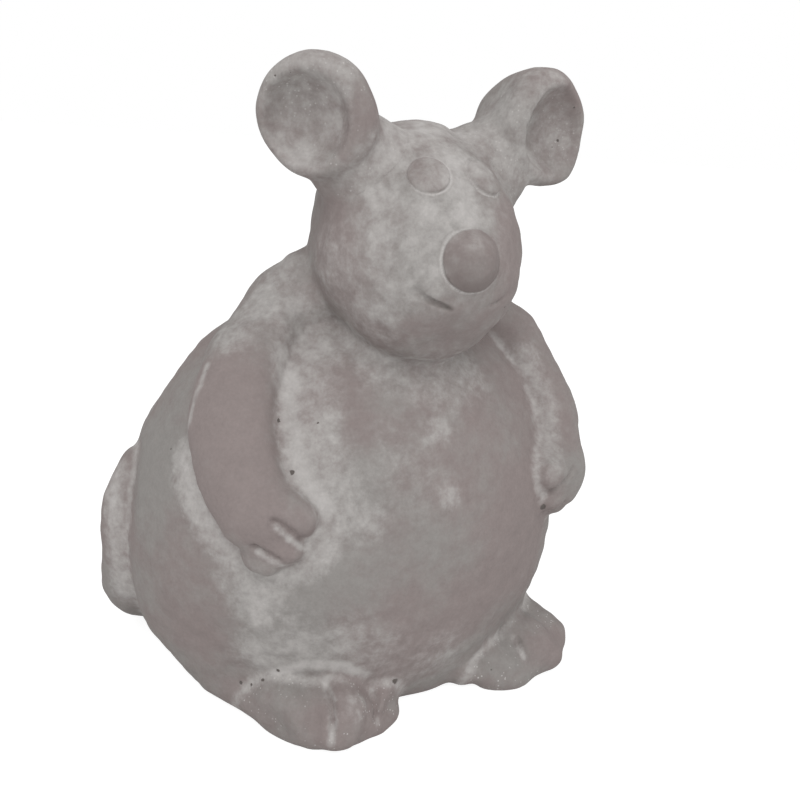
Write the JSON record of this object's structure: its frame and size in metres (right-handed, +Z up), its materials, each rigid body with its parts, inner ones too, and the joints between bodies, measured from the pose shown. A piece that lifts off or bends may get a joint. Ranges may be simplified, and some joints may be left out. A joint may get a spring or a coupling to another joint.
{
  "type": "mouse figurine",
  "caption": "Cast cement garden figure of a plump sitting mouse with round dished ears, arms laid on its belly, stubby feet and a tail curled along its flank; it rests flat as an ornament.",
  "frame": {"origin": "on the ground under the body, at the middle of its width and near the middle of its depth", "axes": "+Z up, the mouse faces -Y and its left side is +X"},
  "size_m": [0.1587, 0.1441, 0.1951],
  "materials": {
    "cement": "matte cast cement"
  },
  "bodies": {
    "root": {"body": "cement", "head": "cement", "nose": "cement", "left_eye": "cement", "right_eye": "cement", "left_ear": "cement", "right_ear": "cement", "left_arm": "cement", "right_arm": "cement", "left_foot": "cement", "right_foot": "cement", "tail": "cement"}
  },
  "joints": []
}
